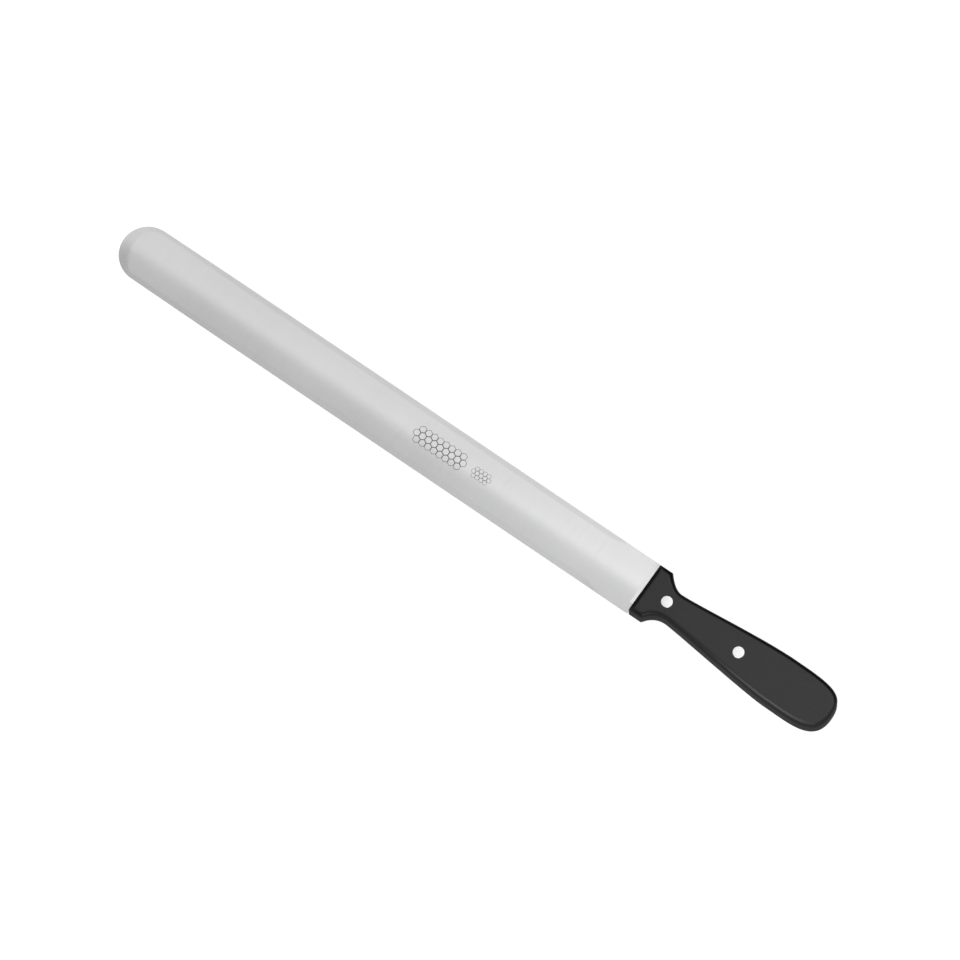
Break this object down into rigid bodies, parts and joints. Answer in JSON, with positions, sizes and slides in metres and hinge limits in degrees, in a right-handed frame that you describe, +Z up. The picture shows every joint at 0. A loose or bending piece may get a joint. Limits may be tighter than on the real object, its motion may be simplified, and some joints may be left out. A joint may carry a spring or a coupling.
{
  "type": "uncapping knife",
  "caption": "Long straight knife with a rounded tip and both long sides sharpened, for slicing wax cappings off honeycomb; black plastic scales riveted over a hidden tang.",
  "frame": {"origin": "under the middle of the knife's box, on the plane of the handle's lower face", "axes": "+X from the blade's tip to the handle's butt, +Y across the blade to the straighter side of the handle, +Z up through the thickness"},
  "size_m": [0.4892, 0.034, 0.015],
  "materials": {
    "blade_steel": "satin, finely ground across the blade, with brighter ground bands along both edges",
    "handle_plastic": "black moulded plastic with a fine satin grain and rounded edges",
    "rivet_metal": "bright, faced off flush with the handle"
  },
  "bodies": {
    "root": {"blade": "blade_steel", "lower_scale": "handle_plastic", "upper_scale": "handle_plastic", "front_rivet_pin": "rivet_metal", "front_rivet_sleeve": "rivet_metal", "rear_rivet_pin": "rivet_metal", "rear_rivet_sleeve": "rivet_metal"}
  },
  "joints": []
}
